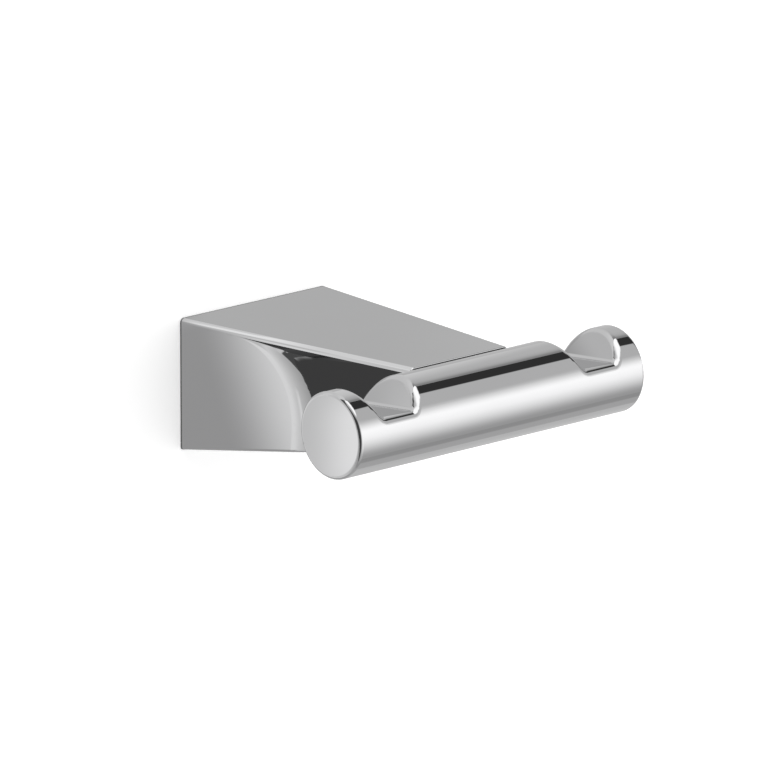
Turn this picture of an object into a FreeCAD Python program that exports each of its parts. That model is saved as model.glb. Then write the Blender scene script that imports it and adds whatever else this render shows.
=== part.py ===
import FreeCAD, Part
import math
import os
import re

import Sketcher
from FreeCAD import Vector

# Double robe hook for a bathroom wall, all lengths in millimetres.
# X runs along the hook bar, -Y points away from the wall and +Z is up.
# The origin is the centre of the mount's wall face, in the plane of the wall.
# "Reach" is always a distance from the wall, so a point at reach 10 has y = -10.

SIZES = {
    # cast mount, seen on the wall
    "base_width": 49.4,
    "base_height": 34,
    "plate_edge_radius": 1.2,
    "foot_radius": 0.8,
    # flat top plate, tapering to the bar
    "plate_front_width": 32.8,
    "plate_thickness": 1.5,
    "plate_lip": 0.7,
    "plate_lip_radius": 0.3,
    # side walls: flat near the wall, rolling inwards along an arc under the plate
    "roll_start_reach": 17.3,
    "roll_arc_radius": 19.3,
    "roll_radius": 27.7,
    "neck_end_reach": 73,
    "neck_half_width": 2,
    # hook bar
    "bar_radius": 11,
    "bar_length": 96.4,
    "bar_reach": 80.5,
    "bar_drop": 10.35,
    "bar_rim_radius": 1,
    "seat_clearance": 0.05,
    # the two notches that hold the robe loops: leaning walls, rounded rims, and a floor
    # that falls towards the wall
    "notch_flange": 5.4,
    "notch_width": 17.5,
    "notch_depth": 7.05,
    "notch_wall_lean": 27,
    "notch_floor_tilt": 5,
    "notch_rim_radius": 2.2,
    "notch_cove_radius": 1.2,
    # pocket in the back of the mount, and the wall bracket inside it
    "wall_thickness": 3,
    "pocket_depth": 7.5,
    "pocket_corner_radius": 1.5,
    "screw_boss_width": 13,
    "core_out_width": 8.5,
    "core_out_depth": 25,
    "bracket_thickness": 7,
    "bracket_side_clearance": 1.5,
    "bracket_foot_gap": 2.6,
    "bracket_corner_radius": 1,
    "wall_screw_spacing": 24,
    "wall_screw_hole_radius": 2.25,
    "countersink": 2,
    # screw that pulls the bar against the mount
    "bar_screw_radius": 2.5,
    "bar_screw_clearance": 0.25,
    "thread_clearance": 0.03,
    "screw_thread_length": 8,
    "tapped_hole_spare": 1.5,
    "screw_head_radius": 4.25,
    "screw_head_height": 5,
    "screw_socket_width": 4,
    "screw_socket_depth": 2.5,
    "counterbore_clearance": 0.4,
    "washer_thickness": 1.2,
    "washer_radius": 4.2,
    "washer_split": 1,
    # grub screw that clamps the mount on the bracket
    "set_screw_radius": 2,
    "set_screw_recess": 0.4,
    "set_screw_socket_width": 2,
    "set_screw_socket_depth": 2,
}

# heights of the horizontal sections of the side walls, as angles on the roll arc
ARC_STEPS = 5
PART_FILES = "parts"

doc = FreeCAD.newDocument("double_robe_hook")
sheet = doc.addObject("Spreadsheet::Sheet", "Sizes")
for row, (alias, size) in enumerate(SIZES.items(), start=1):
    sheet.set(f"A{row}", alias)
    sheet.set(f"B{row}", str(size))
    sheet.setAlias(f"B{row}", alias)

# worked-out places, one formula each, that more than one piece uses
FORMULAS = {
    "top_height": "base_height / 2",
    "bar_height": "top_height - bar_drop",
    "plate_underside": "top_height - plate_thickness",
    "bar_back_reach": "bar_reach - bar_radius",
    "lip_height": "bar_drop - plate_lip",
    "plate_front_reach": "bar_reach - sqrt(bar_radius ^ 2 - lip_height ^ 2)",
    "side_slope": "(base_width - plate_front_width) / 2 / plate_front_reach",
    "arc_centre_height": "plate_underside - roll_arc_radius",
    "pocket_half_width": "base_width / 2 - wall_thickness - side_slope * pocket_depth",
    "pocket_half_height": "base_height / 2 - wall_thickness",
    "bracket_half_width": "pocket_half_width - bracket_side_clearance",
    "bracket_foot": "-pocket_half_height + bracket_foot_gap",
    "screw_seat_reach": "pocket_depth + screw_head_height + washer_thickness",
    "screw_tip_reach": "bar_back_reach + screw_thread_length",
    "set_screw_reach": "bracket_thickness / 2",
    "underside_slope": "(bar_height - bar_radius + base_height / 2) / bar_reach",
    "notch_outer": "bar_length / 2 - notch_flange",
    "notch_inner": "notch_outer - notch_width",
}
first_formula_row = len(SIZES) + 1
for row, (alias, formula) in enumerate(FORMULAS.items(), start=first_formula_row):
    sheet.set(f"A{row}", alias)
    sheet.set(f"B{row}", f"={formula}")
    sheet.setAlias(f"B{row}", alias)
doc.recompute()


def in_sheet(formula):
    """The formula with each size named as a cell of the sheet."""
    names = "|".join([*SIZES, *FORMULAS])
    return re.sub(rf"\b({names})\b", r"Sizes.\1", formula)


def number(formula):
    """The formula's present value, in millimetres."""
    return float(sheet.evalExpression(in_sheet(formula)))


def bind(item, path, formula):
    """Tie one property of a feature to the sheet."""
    item.setExpression(path, in_sheet(formula))


def new_body(name):
    body = doc.addObject("PartDesign::Body", name)
    body.Label = name
    return body


def origin_plane(body, role):
    return next(item for item in body.Origin.OriginFeatures if item.Role == role)


def new_sketch(body, name, role, height="0", across="0"):
    """A sketch on an origin plane: height moves it along the normal, across along its own Y."""
    sketch = body.newObject("Sketcher::SketchObject", name)
    sketch.AttachmentSupport = [(origin_plane(body, role), "")]
    sketch.MapMode = "FlatFace"
    bind(sketch, ".AttachmentOffset.Base.z", height)
    bind(sketch, ".AttachmentOffset.Base.y", across)
    return sketch


def fix_point(sketch, curve, end, x, y):
    """Hold one end of a curve at (x, y), each a formula; zero holds it on the axis."""
    for kind, formula, axis in (("DistanceX", x, -2), ("DistanceY", y, -1)):
        place = number(formula)
        if abs(place) < 1e-9:
            sketch.addConstraint(Sketcher.Constraint("PointOnObject", curve, end, axis))
            continue
        ends = (-1, 1, curve, end) if place > 0 else (curve, end, -1, 1)
        index = sketch.addConstraint(Sketcher.Constraint(kind, *ends, abs(place)))
        bind(sketch, f"Constraints[{index}]", formula if place > 0 else f"-({formula})")


def add_polygon(sketch, corners):
    """A closed outline of straight lines through corners, pairs of formulas."""
    points = [Vector(number(x), number(y), 0) for x, y in corners]
    count = len(points)
    lines = [
        sketch.addGeometry(Part.LineSegment(points[i], points[(i + 1) % count]), False)
        for i in range(count)
    ]
    for i in range(count):
        joined = Sketcher.Constraint("Coincident", lines[i], 2, lines[(i + 1) % count], 1)
        sketch.addConstraint(joined)
    for line, (x, y) in zip(lines, corners):
        fix_point(sketch, line, 1, x, y)


def add_circle(sketch, x, y, radius):
    centre = Vector(number(x), number(y), 0)
    circle = sketch.addGeometry(Part.Circle(centre, Vector(0, 0, 1), number(radius)), False)
    fix_point(sketch, circle, 3, x, y)
    index = sketch.addConstraint(Sketcher.Constraint("Radius", circle, number(radius)))
    bind(sketch, f"Constraints[{index}]", radius)


def hexagon(x, y, across_flats):
    """Corners of a hexagon socket, as pairs of formulas."""
    corners = []
    for turn in range(0, 360, 60):
        corner_x = f"{x} + {across_flats} / 2 / cos(30 deg) * cos({turn} deg)"
        corner_y = f"{y} + {across_flats} / 2 / cos(30 deg) * sin({turn} deg)"
        corners.append((corner_x, corner_y))
    return corners


def add_pad(body, name, sketch, length, midplane=False, reverse=False):
    pad = body.newObject("PartDesign::Pad", name)
    pad.Profile = sketch
    pad.Midplane = midplane
    pad.Reversed = reverse
    bind(pad, "Length", length)
    doc.recompute()
    return pad


def add_pocket(body, name, sketch, length, midplane=False, reverse=False):
    """Cut a sketch into the body, and stop if nothing was cut."""
    before = body.Tip.Shape.Volume
    pocket = body.newObject("PartDesign::Pocket", name)
    pocket.Profile = sketch
    pocket.Midplane = midplane
    pocket.Reversed = reverse
    bind(pocket, "Length", length)
    doc.recompute()
    if not pocket.Shape.Volume < before:
        raise RuntimeError(f"{body.Label}: {name} cuts nothing")
    return pocket


def add_revolution(body, name, sketch, axis):
    revolution = body.newObject("PartDesign::Revolution", name)
    revolution.Profile = sketch
    revolution.ReferenceAxis = (sketch, [axis])
    revolution.Angle = 360
    doc.recompute()
    return revolution


def dress_edges(body, kind, name, size_property, size, chosen):
    """Fillet or chamfer the edges of the body's present shape that chosen picks."""
    base = body.Tip
    names = [f"Edge{i}" for i, edge in enumerate(base.Shape.Edges, start=1) if chosen(edge)]
    if not names:
        raise RuntimeError(f"{body.Label}: {name} finds no edge")
    feature = body.newObject(f"PartDesign::{kind}", name)
    feature.Base = (base, names)
    bind(feature, size_property, size)
    doc.recompute()
    return feature


def near(value, formula, within=0.01):
    return abs(value - number(formula)) < within


def spans(edge):
    box = edge.BoundBox
    return box.XLength, box.YLength, box.ZLength


def add_side_section(body, name, height, start):
    """Half of a horizontal section of the mount below its plate.

    The side runs straight out from the wall, rolls inwards on a tangent arc from the reach
    called start, and goes on straight to the end of the neck.
    """
    sketch = new_sketch(body, name, "XY_Plane", height)
    side_x = f"-(base_width / 2 - side_slope * ({start}))"
    slope = math.atan(number("side_slope"))
    radius = number("roll_radius")
    roll_start = Vector(number(side_x), -number(start), 0)
    end = Vector(-number("neck_half_width"), -number("neck_end_reach"), 0)
    centre = roll_start + Vector(math.cos(slope), math.sin(slope), 0) * radius
    to_end = end - centre
    lean = math.atan2(-to_end.x, -to_end.y)
    turn = math.asin(radius / to_end.Length) - lean
    roll_end = centre - Vector(math.cos(turn), math.sin(turn), 0) * radius
    half = (slope + turn) / 2
    middle = centre - Vector(math.cos(half), math.sin(half), 0) * radius
    wall_corner = Vector(-number("base_width") / 2, 0, 0)
    tip = Vector(0, end.y, 0)

    side = sketch.addGeometry(Part.LineSegment(wall_corner, roll_start), False)
    roll = sketch.addGeometry(Part.Arc(roll_start, middle, roll_end), False)
    neck = sketch.addGeometry(Part.LineSegment(roll_end, end), False)
    cap = sketch.addGeometry(Part.LineSegment(end, tip), False)
    spine = sketch.addGeometry(Part.LineSegment(tip, Vector(0, 0, 0)), False)
    wall = sketch.addGeometry(Part.LineSegment(Vector(0, 0, 0), wall_corner), False)
    arc_ends = sketch.Geometry[roll]
    starts_first = arc_ends.StartPoint.distanceToPoint(roll_start) < 1e-6
    first, last = (1, 2) if starts_first else (2, 1)

    sketch.addConstraint(Sketcher.Constraint("Tangent", side, 2, roll, first))
    sketch.addConstraint(Sketcher.Constraint("Tangent", roll, last, neck, 1))
    for one, other in ((neck, cap), (cap, spine), (spine, wall), (wall, side)):
        sketch.addConstraint(Sketcher.Constraint("Coincident", one, 2, other, 1))
    index = sketch.addConstraint(Sketcher.Constraint("Radius", roll, radius))
    bind(sketch, f"Constraints[{index}]", "roll_radius")
    fix_point(sketch, side, 1, "-base_width / 2", "0")
    fix_point(sketch, side, 2, side_x, f"-({start})")
    fix_point(sketch, neck, 2, "-neck_half_width", "-neck_end_reach")
    fix_point(sketch, cap, 2, "0", "-neck_end_reach")
    fix_point(sketch, spine, 2, "0", "0")
    return sketch


def make_mount_body():
    """Cast and plated mount: tapered top plate, rolled sides, hollow back and bar seat."""
    body = new_body("mount_body")

    sections = []
    for step in range(ARC_STEPS, -1, -1):
        angle = 90 * step / ARC_STEPS
        height = f"arc_centre_height + roll_arc_radius * sin({angle} deg)"
        start = f"roll_start_reach + roll_arc_radius * cos({angle} deg)"
        sections.append(add_side_section(body, f"side_section_{step}", height, start))
    lowest = "-base_height / 2 - plate_thickness"
    straight_start = "roll_start_reach + roll_arc_radius"
    sections.append(add_side_section(body, "side_section_bottom", lowest, straight_start))
    loft = body.newObject("PartDesign::AdditiveLoft", "side_loft")
    loft.Profile = sections[0]
    loft.Sections = sections[1:]
    loft.Ruled = False
    doc.recompute()

    mirrored = body.newObject("PartDesign::Mirrored", "both_sides")
    mirrored.Originals = [loft]
    mirrored.MirrorPlane = (origin_plane(body, "YZ_Plane"), [""])
    body.Tip = mirrored
    doc.recompute()

    plate_sketch = new_sketch(body, "plate_outline", "XY_Plane", "top_height")
    add_polygon(
        plate_sketch,
        [
            ("-base_width / 2", "0"),
            ("-plate_front_width / 2", "-plate_front_reach"),
            ("plate_front_width / 2", "-plate_front_reach"),
            ("base_width / 2", "0"),
        ],
    )
    add_pad(body, "plate", plate_sketch, "plate_thickness", reverse=True)

    underside = new_sketch(body, "underside_line", "YZ_Plane")
    past_end = "(bar_reach + bar_radius)"
    below = "-(base_height + bar_radius)"
    add_polygon(
        underside,
        [
            ("0", "-base_height / 2"),
            (f"-{past_end}", f"-base_height / 2 + underside_slope * {past_end}"),
            (f"-{past_end}", below),
            ("0", below),
        ],
    )
    add_pocket(body, "underside_cut", underside, "2 * base_width", midplane=True)

    seat = new_sketch(body, "bar_seat_outline", "YZ_Plane")
    add_circle(seat, "-bar_reach", "bar_height", "bar_radius + seat_clearance")
    add_pocket(body, "bar_seat", seat, "2 * base_width", midplane=True)

    pocket = new_sketch(body, "pocket_outline", "XZ_Plane")
    add_polygon(
        pocket,
        [
            ("-pocket_half_width", "-pocket_half_height"),
            ("pocket_half_width", "-pocket_half_height"),
            ("pocket_half_width", "pocket_half_height"),
            ("-pocket_half_width", "pocket_half_height"),
        ],
    )
    add_pocket(body, "bracket_pocket", pocket, "pocket_depth", reverse=True)

    core_out = new_sketch(body, "core_out_outline", "XZ_Plane")
    core_out_reach = "(pocket_depth + core_out_depth)"
    core_out_floor = f"-base_height / 2 + underside_slope * {core_out_reach} + wall_thickness"
    core_out_top = "plate_underside - wall_thickness"
    for side in ("", "-"):
        add_polygon(
            core_out,
            [
                (f"{side}screw_boss_width / 2", core_out_floor),
                (f"{side}(screw_boss_width / 2 + core_out_width)", core_out_floor),
                (f"{side}(screw_boss_width / 2 + core_out_width)", core_out_top),
                (f"{side}screw_boss_width / 2", core_out_top),
            ],
        )
    add_pocket(body, "core_outs", core_out, core_out_reach, reverse=True)

    counterbore = new_sketch(body, "screw_head_outline", "XZ_Plane")
    add_circle(counterbore, "0", "bar_height", "screw_head_radius + counterbore_clearance")
    add_pocket(body, "screw_head_bore", counterbore, "screw_seat_reach", reverse=True)

    bore = new_sketch(body, "screw_bore_outline", "XZ_Plane")
    add_circle(bore, "0", "bar_height", "bar_screw_radius + bar_screw_clearance")
    add_pocket(body, "screw_bore", bore, "bar_reach", reverse=True)

    set_hole = new_sketch(body, "set_screw_hole_outline", "XY_Plane")
    add_circle(set_hole, "0", "-set_screw_reach", "set_screw_radius + thread_clearance")
    add_pocket(body, "set_screw_hole", set_hole, "base_height")

    def in_pocket_corner(edge):
        along_y = spans(edge)[0] < 0.01 and spans(edge)[2] < 0.01
        return (
            along_y
            and near(abs(edge.CenterOfMass.x), "pocket_half_width")
            and near(abs(edge.CenterOfMass.z), "pocket_half_height")
        )

    corner = "pocket_corner_radius"
    dress_edges(body, "Fillet", "pocket_corners", "Radius", corner, in_pocket_corner)

    def on_plate_side(edge):
        runs_out = spans(edge)[1] > number("plate_front_reach") / 2
        return runs_out and near(edge.CenterOfMass.z, "top_height")

    dress_edges(body, "Fillet", "plate_edges", "Radius", "plate_edge_radius", on_plate_side)

    def on_plate_lip(edge):
        level = near(edge.CenterOfMass.z, "top_height") and spans(edge)[2] < 0.01
        return level and near(edge.CenterOfMass.y, "-plate_front_reach")

    dress_edges(body, "Fillet", "plate_lip_edge", "Radius", "plate_lip_radius", on_plate_lip)

    def on_side_foot(edge):
        middle = edge.valueAt((edge.FirstParameter + edge.LastParameter) / 2)
        line = number("-base_height / 2") - number("underside_slope") * middle.y
        runs_out = spans(edge)[1] > number("roll_start_reach") / 2
        on_side = abs(middle.x) > number("neck_half_width")
        return runs_out and on_side and abs(middle.z - line) < 0.01

    dress_edges(body, "Fillet", "foot_edges", "Radius", "foot_radius", on_side_foot)
    return body


def make_hook_bar():
    """Turned bar with two notches across its top and a tapped hole in its back."""
    body = new_body("hook_bar")
    outline = new_sketch(body, "bar_outline", "YZ_Plane")
    add_circle(outline, "-bar_reach", "bar_height", "bar_radius")
    add_pad(body, "bar", outline, "bar_length", midplane=True)

    def end_rim(edge):
        return near(abs(edge.CenterOfMass.x), "bar_length / 2") and spans(edge)[0] < 0.01

    dress_edges(body, "Fillet", "end_rims", "Radius", "bar_rim_radius", end_rim)

    turn = "notch_floor_tilt * 1 deg"
    crown = f"((bar_height + bar_radius) * cos({turn}) - bar_reach * sin({turn}))"
    floor = f"({crown} - notch_depth)"
    above = f"({crown} + 2 * bar_radius)"
    foot_shift = "notch_depth * tan(notch_wall_lean * 1 deg)"
    top_shift = "2 * bar_radius * tan(notch_wall_lean * 1 deg)"
    for side in ("", "-"):
        name = "right" if side == "" else "left"
        notch = new_sketch(body, f"{name}_notch_outline", "XZ_Plane")
        tilt = FreeCAD.Rotation(Vector(-1, 0, 0), number("notch_floor_tilt"))
        notch.AttachmentOffset = FreeCAD.Placement(Vector(0, 0, 0), tilt)
        bind(notch, ".AttachmentOffset.Rotation.Angle", turn)
        add_polygon(
            notch,
            [
                (f"{side}(notch_inner + {foot_shift})", floor),
                (f"{side}(notch_outer - {foot_shift})", floor),
                (f"{side}(notch_outer + {top_shift})", above),
                (f"{side}(notch_inner - {top_shift})", above),
            ],
        )
        add_pocket(body, f"{name}_notch", notch, "bar_reach + 2 * bar_radius", reverse=True)

    def notch_corner(edge):
        return spans(edge)[0] < 0.01 and spans(edge)[1] > number("bar_radius")

    def notch_rim(edge):
        crosses_crown = near(edge.BoundBox.ZMax, "bar_height + bar_radius", 0.2)
        return crosses_crown and spans(edge)[1] > number("bar_radius")

    cove = "notch_cove_radius"
    dress_edges(body, "Fillet", "notch_coves", "Radius", cove, notch_corner)
    dress_edges(body, "Fillet", "notch_rims", "Radius", "notch_rim_radius", notch_rim)

    tapped = new_sketch(body, "tapped_hole_outline", "XZ_Plane")
    add_circle(tapped, "0", "bar_height", "bar_screw_radius + thread_clearance")
    hole_end = "screw_tip_reach + tapped_hole_spare"
    add_pocket(body, "tapped_hole", tapped, hole_end, reverse=True)
    return body


def make_bar_screw():
    """Socket head cap screw that draws the bar onto its seat."""
    body = new_body("bar_screw")
    profile = new_sketch(body, "screw_profile", "YZ_Plane", across="bar_height")
    head_front = "-(screw_seat_reach - washer_thickness - screw_head_height)"
    head_back = "-(screw_seat_reach - washer_thickness)"
    add_polygon(
        profile,
        [
            (head_front, "0"),
            (head_front, "screw_head_radius"),
            (head_back, "screw_head_radius"),
            (head_back, "bar_screw_radius"),
            ("-screw_tip_reach", "bar_screw_radius"),
            ("-screw_tip_reach", "0"),
        ],
    )
    add_revolution(body, "screw", profile, "H_Axis")
    socket = new_sketch(body, "socket_outline", "XZ_Plane")
    add_polygon(socket, hexagon("0", "bar_height", "screw_socket_width"))
    depth = "pocket_depth + screw_socket_depth"
    add_pocket(body, "socket", socket, depth, reverse=True)
    return body


def make_lock_washer():
    """Split spring washer under the cap screw's head."""
    body = new_body("lock_washer")
    profile = new_sketch(body, "washer_profile", "YZ_Plane", across="bar_height")
    inner = "(bar_screw_radius + bar_screw_clearance)"
    add_polygon(
        profile,
        [
            ("-(screw_seat_reach - washer_thickness)", inner),
            ("-(screw_seat_reach - washer_thickness)", "washer_radius"),
            ("-screw_seat_reach", "washer_radius"),
            ("-screw_seat_reach", inner),
        ],
    )
    add_revolution(body, "washer", profile, "H_Axis")
    split = new_sketch(body, "split_outline", "XZ_Plane")
    add_polygon(
        split,
        [
            ("-washer_split / 2", "bar_height"),
            ("washer_split / 2", "bar_height"),
            ("washer_split / 2", "bar_height + 2 * washer_radius"),
            ("-washer_split / 2", "bar_height + 2 * washer_radius"),
        ],
    )
    add_pocket(body, "split", split, "2 * screw_seat_reach", reverse=True)
    return body


def make_wall_bracket():
    """Block screwed to the wall, which the mount slips over."""
    body = new_body("wall_bracket")
    outline = new_sketch(body, "bracket_outline", "XZ_Plane")
    add_polygon(
        outline,
        [
            ("-bracket_half_width", "bracket_foot"),
            ("bracket_half_width", "bracket_foot"),
            ("bracket_half_width", "pocket_half_height"),
            ("-bracket_half_width", "pocket_half_height"),
        ],
    )
    add_pad(body, "block", outline, "bracket_thickness")

    def block_corner(edge):
        return spans(edge)[0] < 0.01 and spans(edge)[2] < 0.01

    corner = "bracket_corner_radius"
    dress_edges(body, "Fillet", "block_corners", "Radius", corner, block_corner)
    holes = new_sketch(body, "wall_screw_outline", "XZ_Plane")
    for side in ("", "-"):
        add_circle(holes, f"{side}wall_screw_spacing / 2", "0", "wall_screw_hole_radius")
    add_pocket(body, "wall_screw_holes", holes, "bracket_thickness", reverse=True)

    def hole_front(edge):
        at_front = near(edge.CenterOfMass.y, "-bracket_thickness") and spans(edge)[1] < 0.01
        return at_front and near(spans(edge)[2], "2 * wall_screw_hole_radius")

    dress_edges(body, "Chamfer", "countersinks", "Size", "countersink", hole_front)
    return body


def make_set_screw():
    """Grub screw that comes up through the mount's underside against the bracket."""
    body = new_body("set_screw")
    profile = new_sketch(body, "grub_profile", "YZ_Plane")
    foot = "(-base_height / 2 + underside_slope * set_screw_reach + set_screw_recess)"
    centre = "-set_screw_reach"
    add_polygon(
        profile,
        [
            (centre, foot),
            (f"{centre} - set_screw_radius", foot),
            (f"{centre} - set_screw_radius", "bracket_foot"),
            (centre, "bracket_foot"),
        ],
    )
    add_revolution(body, "grub", profile, "Edge4")
    socket = new_sketch(body, "grub_socket_outline", "XY_Plane", foot)
    add_polygon(socket, hexagon("0", centre, "set_screw_socket_width"))
    add_pocket(body, "grub_socket", socket, "set_screw_socket_depth", reverse=True)
    return body


pieces = [
    make_mount_body(),
    make_hook_bar(),
    make_bar_screw(),
    make_lock_washer(),
    make_wall_bracket(),
    make_set_screw(),
]
doc.recompute()

for item in doc.Objects:
    if "Invalid" in item.State or "Error" in item.State:
        raise RuntimeError(f"{item.Label}: {item.State}")
os.makedirs(PART_FILES, exist_ok=True)
for piece in pieces:
    shape = piece.Shape
    if shape.isNull() or not shape.isValid() or len(shape.Solids) != 1:
        raise RuntimeError(f"{piece.Label}: not one valid solid")
    box = shape.BoundBox
    extent = f"{box.XLength:.2f} x {box.YLength:.2f} x {box.ZLength:.2f}"
    print(f"{piece.Label}: {extent} mm, {shape.Volume / 1000:.2f} cm3")
for piece in pieces:
    piece.Shape.exportStep(f"{PART_FILES}/{piece.Label}.step")
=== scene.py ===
import math

import bmesh
import bpy
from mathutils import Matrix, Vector

# Double robe hook in polished chrome, on a pale wall, in metres.
# X runs along the bar, -Y points out from the wall and +Z is up, as in the frame.

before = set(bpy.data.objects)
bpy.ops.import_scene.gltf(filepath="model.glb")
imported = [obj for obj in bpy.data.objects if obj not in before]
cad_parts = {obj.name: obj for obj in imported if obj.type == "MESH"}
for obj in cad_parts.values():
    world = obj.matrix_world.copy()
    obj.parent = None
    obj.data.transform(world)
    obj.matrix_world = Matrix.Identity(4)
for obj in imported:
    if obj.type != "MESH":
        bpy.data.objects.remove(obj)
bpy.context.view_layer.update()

# camera, at the photograph's angle
CAMERA_AZIMUTH = math.radians(-42.98)
CAMERA_ELEVATION = math.radians(14.74)
CAMERA_DISTANCE = 3.1328
CAMERA_TARGET = Vector((0.020385, -0.02618, -0.00298))
CAMERA_LENS = 585.94
CAMERA_CLIP_END = 100

# wall and floor boards
WALL_WIDTH = 8.0
WALL_LEFT = 0.65
WALL_TOP = 0.75
WALL_GAP = 0.0001
FLOOR_HEIGHT = -0.6
FLOOR_DEPTH = 0.40
STAGE_ALBEDO = 0.92
STAGE_GLOW = 0.44

# Below, a pair named RISE or FALL holds the two ends of a soft edge, and a pair named
# LEVELS or GAINS holds the brightness or the factor at those ends.

# studio: tilt and height in degrees, x as a part of the unit direction
GREY_TILT = (75, 110)
GREY_LEVELS = (0.69, 0.50)
BOX_TILT_RISE = (47, 82)
BOX_TILT_FALL = (94, 150)
BOX_X_RISE = (-0.5, 0.2)
BOX_LEVEL = 0.95
LAMP_X_RISE = (-0.55, -0.05)
LAMP_X_FALL = (0.48, 0.60)
LAMP_HEIGHT_RISE = (46, 56)
GAP_TILT = (-25, 18)
GAP_TILT_SOFT = 1.5
GAP_X_RISE = (0.50, 0.60)
GAP_LEVEL = 0.045
DARK_X_FALL = (-0.55, -0.30)
DARK_HEIGHT_FALL = (32, 44)
DARK_LEVEL = 0.072

# painted reflection of the wall, as the metal sees it: behind the mount, above it and to its right
BEHIND_X = (-0.034, -0.022)
BEHIND_LEVELS = (0.80, 0.60)
ABOVE_Z_RISE = (0.044, 0.054)
ABOVE_Z = (0.09, 0.25)
ABOVE_LEVELS = (0.86, 0.95)
RIGHT_X_RISE = (0.04, 0.14)
RIGHT_Z = (0.14, 0.50)
RIGHT_LEVELS = (0.70, 0.36)

# painted reflection of the wall to the left of the mount: painted shade beside it, bright a hand
# away, then fading
LEFT_X_FALL = (-0.024, -0.014)
LEFT_Z_FALL = (0.012, 0.022)
FAR_LEFT_X_FALL = (-0.10, -0.08)
FAR_LEFT_Z_FALL = (0.085, 0.105)
SHADE_SLANT = 0.45
SHADE_EDGES = (-0.073, -0.036)
SHADE_LEVELS = (1.10, 0.48)
FADE_START = 0.085
FADE_POWER = 1.3
FADE_LEVEL = 0.58
FAR_LEVEL = 0.50
NEAREST_LEFT = 0.01
# painted glint in the reflection of the wall
GLINT_X = (-0.142, -0.122)
GLINT_X_SOFT = 0.010
GLINT_Z = (-0.036, -0.014)
GLINT_Z_SOFT = 0.006
GLINT_LEVEL = 0.24
# painted dark patch high on the left, in the reflection of the wall
HIGH_DARK_X_FALL = (-0.205, -0.180)
HIGH_DARK_Z_RISE = (0.090, 0.125)
HIGH_DARK_LEVEL = 0.10

# painted reflection of the floor, as the metal sees it
FLOOR_Y = (-0.26, -0.20)
FLOOR_LEVELS = (0.43, 0.56)

# painted light on the casting: a line of painted shade at the wall, painted shade on the plate's
# underside and painted highlights on the plate edges
# painted shade: a dark line along the wall face
WALL_SHADE_Y = (-0.0006, -0.0002)
WALL_SHADE_GAINS = (1.0, 0.25)
# painted shade on the plate's underside
UNDER_SHADE_NORMAL_FALL = (-0.8, -0.6)
UNDER_SHADE_Z_RISE = (0.0148, 0.0152)
UNDER_SHADE_GAIN = 0.20
# painted highlights on the rounded plate edges
EDGE_HIGHLIGHT_NORMAL_RISE = (0.35, 0.50)
EDGE_HIGHLIGHT_NORMAL_FALL = (0.97, 0.99)
EDGE_HIGHLIGHT_Z_RISE = (0.0155, 0.0158)
EDGE_HIGHLIGHT_Y = (-0.048, -0.022)
EDGE_HIGHLIGHT_GAINS = (1.22, 1.60)

# painted light on the bar: a painted reflection on the end faces, brighter towards the front, and
# painted shade on the notch walls
# painted reflection on the end faces
END_SHEEN_X_RISE = (0.0479, 0.0481)
END_SHEEN_Y = (-0.091, -0.070)
END_SHEEN_GAINS = (1.14, 0.94)
# painted shade on the notch walls
NOTCH_SHADE_NORMAL_RISE = (0.75, 0.86)
NOTCH_SHADE_X_FALL = (0.0455, 0.0465)
NOTCH_SHADE_GAIN = 0.84

# cloudiness of every metal
CLOUD_SCALE = 60.0
CLOUD_EDGES = (0.3, 0.7)
CLOUD_TONE = 0.02
CLOUD_ROUGHNESS = 0.2


def degrees(pair):
    return tuple(math.radians(angle) for angle in pair)


def socket(node, name, value):
    """Set one input of a node to a plain value."""
    node.inputs[name].default_value = value
    return node


class Tree:
    """Short hand for adding nodes to a node tree."""

    def __init__(self, tree):
        self.tree = tree
        self.nodes = tree.nodes

    def link(self, source, target):
        self.tree.links.new(source, target)

    def feed(self, target, source):
        """Give a node's input a number or another node's output."""
        if isinstance(source, bpy.types.NodeSocket):
            self.link(source, target)
        else:
            target.default_value = source

    def math(self, operation, first, second=0.0):
        node = self.nodes.new("ShaderNodeMath")
        node.operation = operation
        self.feed(node.inputs[0], first)
        self.feed(node.inputs[1], second)
        return node.outputs[0]

    def product(self, *factors):
        result = factors[0]
        for factor in factors[1:]:
            result = self.math("MULTIPLY", result, factor)
        return result

    def ramp(self, value, edges, levels):
        """Smooth step of value, from the first level at the first edge to the second."""
        node = self.nodes.new("ShaderNodeMapRange")
        node.interpolation_type = "SMOOTHSTEP"
        self.feed(node.inputs["Value"], value)
        socket(node, "From Min", edges[0])
        socket(node, "From Max", edges[1])
        socket(node, "To Min", levels[0])
        socket(node, "To Max", levels[1])
        return node.outputs["Result"]

    def rise(self, value, edges):
        """Zero below the edges, one above them."""
        return self.ramp(value, edges, (0.0, 1.0))

    def fall(self, value, edges):
        """One below the edges, zero above them."""
        return self.ramp(value, edges, (1.0, 0.0))

    def window(self, value, edges, soft):
        """One between the edges, zero outside, each edge soft to both sides."""
        low, high = edges
        rises = self.rise(value, (low - soft, low + soft))
        return self.product(rises, self.fall(value, (high - soft, high + soft)))

    def split(self, vector):
        """The three parts of a vector."""
        parts = self.nodes.new("ShaderNodeSeparateXYZ")
        self.link(vector, parts.inputs[0])
        return list(parts.outputs)

    def fade(self, first, share, second):
        """First where share is zero, second where it is one."""
        node = self.nodes.new("ShaderNodeMix")
        node.data_type = "FLOAT"
        self.feed(node.inputs[0], share)
        self.feed(node.inputs[2], first)
        self.feed(node.inputs[3], second)
        return node.outputs[0]

    def coordinates(self, kind):
        """The three parts of one kind of texture coordinate."""
        node = self.nodes.new("ShaderNodeTexCoord")
        return self.split(node.outputs[kind])

    def mix_shaders(self, share, first, second):
        node = self.nodes.new("ShaderNodeMixShader")
        self.link(share, node.inputs[0])
        self.link(first, node.inputs[1])
        self.link(second, node.inputs[2])
        return node.outputs[0]


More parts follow.
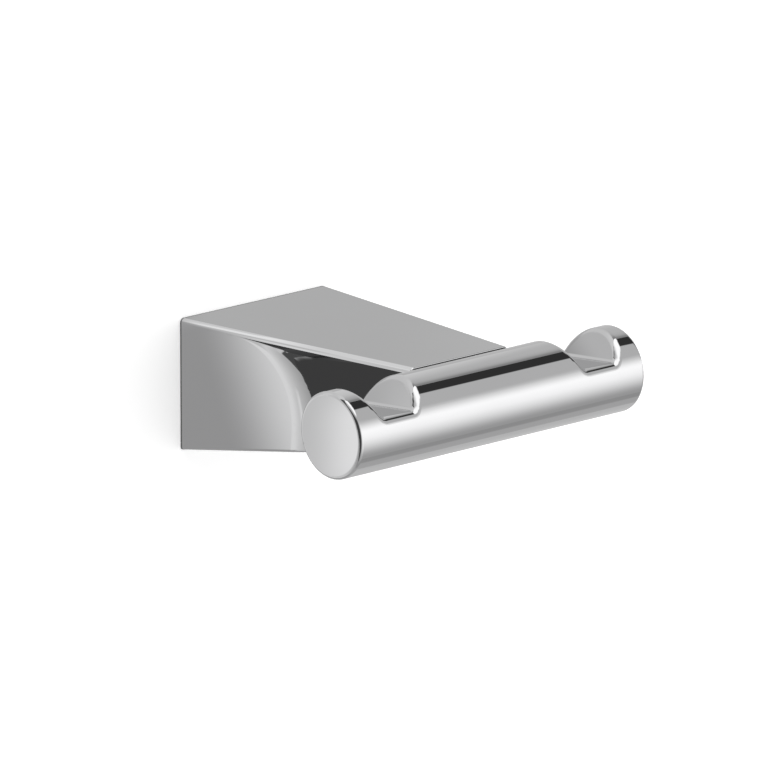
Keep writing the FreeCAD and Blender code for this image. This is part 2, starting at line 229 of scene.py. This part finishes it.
def make_studio():
    """Light tent: a soft box in front to the right, a lamp overhead, a dark gap and a dark left."""
    world = bpy.data.worlds.new("studio")
    bpy.context.scene.world = world
    world.use_nodes = True
    world.node_tree.nodes.clear()
    tree = Tree(world.node_tree)
    x, y, z = tree.coordinates("Generated")
    forward = tree.math("MULTIPLY", y, -1.0)
    height = tree.math("ARCSINE", z)
    tilt = tree.math("ARCTAN2", forward, z)

    lit = tree.ramp(tilt, degrees(GREY_TILT), GREY_LEVELS)
    box = tree.product(
        tree.rise(tilt, degrees(BOX_TILT_RISE)),
        tree.fall(tilt, degrees(BOX_TILT_FALL)),
        tree.rise(x, BOX_X_RISE),
        BOX_LEVEL,
    )
    lit = tree.math("ADD", lit, box)
    lamp = tree.product(
        tree.rise(x, LAMP_X_RISE),
        tree.fall(x, LAMP_X_FALL),
        tree.rise(height, degrees(LAMP_HEIGHT_RISE)),
    )
    lit = tree.math("ADD", lit, lamp)

    gap = tree.window(tilt, degrees(GAP_TILT), math.radians(GAP_TILT_SOFT))
    gap = tree.product(gap, tree.rise(x, GAP_X_RISE))
    lit = tree.fade(lit, gap, GAP_LEVEL)
    dark = tree.product(
        tree.fall(x, DARK_X_FALL), tree.fall(height, degrees(DARK_HEIGHT_FALL))
    )
    lit = tree.fade(lit, dark, DARK_LEVEL)

    path = tree.nodes.new("ShaderNodeLightPath")
    background = socket(tree.nodes.new("ShaderNodeBackground"), "Color", (1, 1, 1, 1))
    strength = tree.fade(lit, path.outputs["Is Camera Ray"], 1.0)
    tree.link(strength, background.inputs["Strength"])
    output = tree.nodes.new("ShaderNodeOutputWorld")
    tree.link(background.outputs[0], output.inputs[0])


def painted_left_reflection(tree, x, z):
    """Painted reflection of the wall to the left of the mount, with painted shade beside it and a
    small painted glint that the bar's end catches.
    """
    slant = tree.math("SUBTRACT", x, tree.math("MULTIPLY", z, SHADE_SLANT))
    shaded = tree.ramp(slant, SHADE_EDGES, SHADE_LEVELS)
    distance = tree.math("MAXIMUM", tree.math("MULTIPLY", x, -1.0), NEAREST_LEFT)
    faded = tree.math("POWER", tree.math("DIVIDE", FADE_START, distance), FADE_POWER)
    faded = tree.math("ADD", tree.product(faded, FADE_LEVEL), FAR_LEVEL)
    glint = tree.product(
        tree.window(x, GLINT_X, GLINT_X_SOFT),
        tree.window(z, GLINT_Z, GLINT_Z_SOFT),
        GLINT_LEVEL,
    )
    return tree.math("ADD", tree.math("MINIMUM", shaded, faded), glint)


def painted_wall_reflection(tree):
    """Painted reflection: how bright the wall looks in the metal."""
    x, _, z = tree.coordinates("Object")
    behind = tree.ramp(x, BEHIND_X, BEHIND_LEVELS)
    above = tree.ramp(z, ABOVE_Z, ABOVE_LEVELS)
    tone = tree.fade(behind, tree.rise(z, ABOVE_Z_RISE), above)
    right = tree.ramp(z, RIGHT_Z, RIGHT_LEVELS)
    tone = tree.fade(tone, tree.rise(x, RIGHT_X_RISE), right)

    low = tree.fade(
        tree.fall(z, LEFT_Z_FALL), tree.fall(x, FAR_LEFT_X_FALL), tree.fall(z, FAR_LEFT_Z_FALL)
    )
    left = tree.product(tree.fall(x, LEFT_X_FALL), low)
    tone = tree.fade(tone, left, painted_left_reflection(tree, x, z))
    high_dark = tree.product(tree.rise(z, HIGH_DARK_Z_RISE), tree.fall(x, HIGH_DARK_X_FALL))
    return tree.fade(tone, high_dark, HIGH_DARK_LEVEL)


def painted_floor_reflection(tree):
    """Painted reflection: how bright the floor looks in the metal, a little darker towards its
    front edge.
    """
    y = tree.coordinates("Object")[1]
    return tree.ramp(y, FLOOR_Y, FLOOR_LEVELS)


def make_stage_material(name, tone):
    """Pale board: white to the camera, a painted reflection in the metal, and clear from behind."""
    material = bpy.data.materials.new(name)
    material.use_nodes = True
    tree = Tree(material.node_tree)
    tree.nodes.clear()
    path = tree.nodes.new("ShaderNodeLightPath")
    diffuse = socket(tree.nodes.new("ShaderNodeBsdfDiffuse"), "Color", (STAGE_ALBEDO,) * 3 + (1,))
    glow = tree.nodes.new("ShaderNodeEmission")
    seen = tree.math("MULTIPLY", path.outputs["Is Camera Ray"], STAGE_GLOW)
    tree.link(seen, glow.inputs["Strength"])
    lit = tree.nodes.new("ShaderNodeAddShader")
    tree.link(diffuse.outputs[0], lit.inputs[0])
    tree.link(glow.outputs[0], lit.inputs[1])
    # painted reflection: glossy rays see a made-up glow instead of the lit board
    painted_reflection = tree.nodes.new("ShaderNodeEmission")
    tree.link(tone(tree), painted_reflection.inputs["Strength"])
    in_metal = tree.math(
        "MAXIMUM", path.outputs["Is Glossy Ray"], path.outputs["Is Transmission Ray"]
    )
    front = tree.mix_shaders(in_metal, lit.outputs[0], painted_reflection.outputs[0])
    clear = tree.nodes.new("ShaderNodeBsdfTransparent")
    facing = tree.nodes.new("ShaderNodeNewGeometry")
    whole = tree.mix_shaders(facing.outputs["Backfacing"], front, clear.outputs[0])
    output = tree.nodes.new("ShaderNodeOutputMaterial")
    tree.link(whole, output.inputs["Surface"])
    return material


def board(name, corner, along, up, material):
    """A rectangle from a corner and its two sides, whose cross product is its front."""
    mesh = bpy.data.meshes.new(name)
    shape = bmesh.new()
    corners = [corner, corner + along, corner + along + up, corner + up]
    shape.faces.new([shape.verts.new(place) for place in corners])
    shape.to_mesh(mesh)
    shape.free()
    mesh.materials.append(material)
    piece = bpy.data.objects.new(name, mesh)
    bpy.context.scene.collection.objects.link(piece)


def make_stage():
    half_width = WALL_WIDTH / 2
    board(
        "wall",
        Vector((-WALL_LEFT, WALL_GAP, FLOOR_HEIGHT)),
        Vector((WALL_LEFT + half_width, 0, 0)),
        Vector((0, 0, WALL_TOP - FLOOR_HEIGHT)),
        make_stage_material("pale_wall", painted_wall_reflection),
    )
    board(
        "floor",
        Vector((-half_width, -FLOOR_DEPTH, FLOOR_HEIGHT)),
        Vector((WALL_WIDTH, 0, 0)),
        Vector((0, FLOOR_DEPTH + WALL_GAP, 0)),
        make_stage_material("pale_floor", painted_floor_reflection),
    )


def make_camera():
    data = bpy.data.cameras.new("camera")
    data.lens = CAMERA_LENS
    data.clip_end = CAMERA_CLIP_END
    camera = bpy.data.objects.new("camera", data)
    bpy.context.scene.collection.objects.link(camera)
    level = math.cos(CAMERA_ELEVATION)
    back = Vector(
        (
            math.sin(CAMERA_AZIMUTH) * level,
            -math.cos(CAMERA_AZIMUTH) * level,
            math.sin(CAMERA_ELEVATION),
        )
    )
    camera.location = CAMERA_TARGET + back * CAMERA_DISTANCE
    camera.rotation_mode = "QUATERNION"
    camera.rotation_quaternion = (-back).to_track_quat("-Z", "Y")
    bpy.context.scene.camera = camera


def make_metal(name, colour, roughness):
    """Metal whose tone and roughness are very slightly cloudy."""
    material = bpy.data.materials.new(name)
    material.use_nodes = True
    tree = Tree(material.node_tree)
    shader = socket(tree.nodes["Principled BSDF"], "Metallic", 1.0)
    place = tree.nodes.new("ShaderNodeTexCoord")
    cloud = socket(tree.nodes.new("ShaderNodeTexNoise"), "Scale", CLOUD_SCALE)
    tree.link(place.outputs["Object"], cloud.inputs["Vector"])
    tone = tree.nodes.new("ShaderNodeMix")
    tone.data_type = "RGBA"
    tree.link(cloud.outputs["Fac"], tone.inputs["Factor"])
    for end, gain in (("A", 1 - CLOUD_TONE), ("B", 1 + CLOUD_TONE)):
        tone.inputs[end].default_value = (*[part * gain for part in colour], 1)
    tree.link(tone.outputs["Result"], shader.inputs["Base Color"])
    spread = (roughness * (1 - CLOUD_ROUGHNESS), roughness * (1 + CLOUD_ROUGHNESS))
    rough = tree.ramp(cloud.outputs["Fac"], CLOUD_EDGES, spread)
    tree.link(rough, shader.inputs["Roughness"])
    return material


def scale_colour(tree, gain):
    """Multiply the metal's colour by a value."""
    colour = tree.nodes["Principled BSDF"].inputs["Base Color"]
    scaled = tree.nodes.new("ShaderNodeVectorMath")
    scaled.operation = "SCALE"
    tree.link(colour.links[0].from_socket, scaled.inputs[0])
    tree.link(gain, scaled.inputs["Scale"])
    tree.link(scaled.outputs[0], colour)


def paint_casting_light(material):
    """Painted shade as a dark line at the wall and on the plate's underside, and painted highlights
    on the plate edges.
    """
    tree = Tree(material.node_tree)
    _, y, z = tree.coordinates("Object")
    up = tree.coordinates("Normal")[2]
    # painted shade: a dark line along the wall, a quarter as bright at the wall face
    wall_shade = tree.ramp(y, WALL_SHADE_Y, WALL_SHADE_GAINS)
    # painted shade: downward faces of the plate a fifth as bright
    under_shade = tree.product(tree.fall(up, UNDER_SHADE_NORMAL_FALL), tree.rise(z, UNDER_SHADE_Z_RISE))
    # painted highlight: the plate's rounded edges brighter, most near the wall
    edge = tree.product(
        tree.rise(up, EDGE_HIGHLIGHT_NORMAL_RISE),
        tree.fall(up, EDGE_HIGHLIGHT_NORMAL_FALL),
        tree.rise(z, EDGE_HIGHLIGHT_Z_RISE),
    )
    edge_highlight_gain = tree.fade(1.0, edge, tree.ramp(y, EDGE_HIGHLIGHT_Y, EDGE_HIGHLIGHT_GAINS))
    scale_colour(tree, tree.product(wall_shade, tree.fade(1.0, under_shade, UNDER_SHADE_GAIN), edge_highlight_gain))


def paint_bar_light(material):
    """Painted shade on the notch walls, and a painted reflection on the end faces, brighter towards
    the front.
    """
    tree = Tree(material.node_tree)
    x, y, _ = tree.coordinates("Object")
    along = tree.math("ABSOLUTE", x)
    facing = tree.math("ABSOLUTE", tree.coordinates("Normal")[0])
    # painted reflection: the end faces brighter towards the front and darker towards the wall
    ends = tree.fade(1.0, tree.rise(along, END_SHEEN_X_RISE), tree.ramp(y, END_SHEEN_Y, END_SHEEN_GAINS))
    # painted shade: the notch walls darker
    wall = tree.product(tree.rise(facing, NOTCH_SHADE_NORMAL_RISE), tree.fall(along, NOTCH_SHADE_X_FALL))
    scale_colour(tree, tree.product(ends, tree.fade(1.0, wall, NOTCH_SHADE_GAIN)))


def dress(node, material):
    """Give a CAD node its finish."""
    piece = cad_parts[node]
    piece.data.materials.clear()
    piece.data.materials.append(material)


make_studio()
make_stage()
make_camera()
cast_chrome = make_metal("cast_chrome", (0.58, 0.58, 0.585), 0.045)
paint_casting_light(cast_chrome)
bar_chrome = make_metal("bar_chrome", (0.585, 0.585, 0.59), 0.03)
paint_bar_light(bar_chrome)
steel = make_metal("screw_steel", (0.50, 0.50, 0.50), 0.25)
zinc = make_metal("bracket_zinc", (0.52, 0.52, 0.51), 0.35)
dress("mount_body", cast_chrome)
dress("hook_bar", bar_chrome)
dress("bar_screw", steel)
dress("lock_washer", steel)
dress("set_screw", steel)
dress("wall_bracket", zinc)

bpy.context.scene.view_settings.view_transform = "Standard"
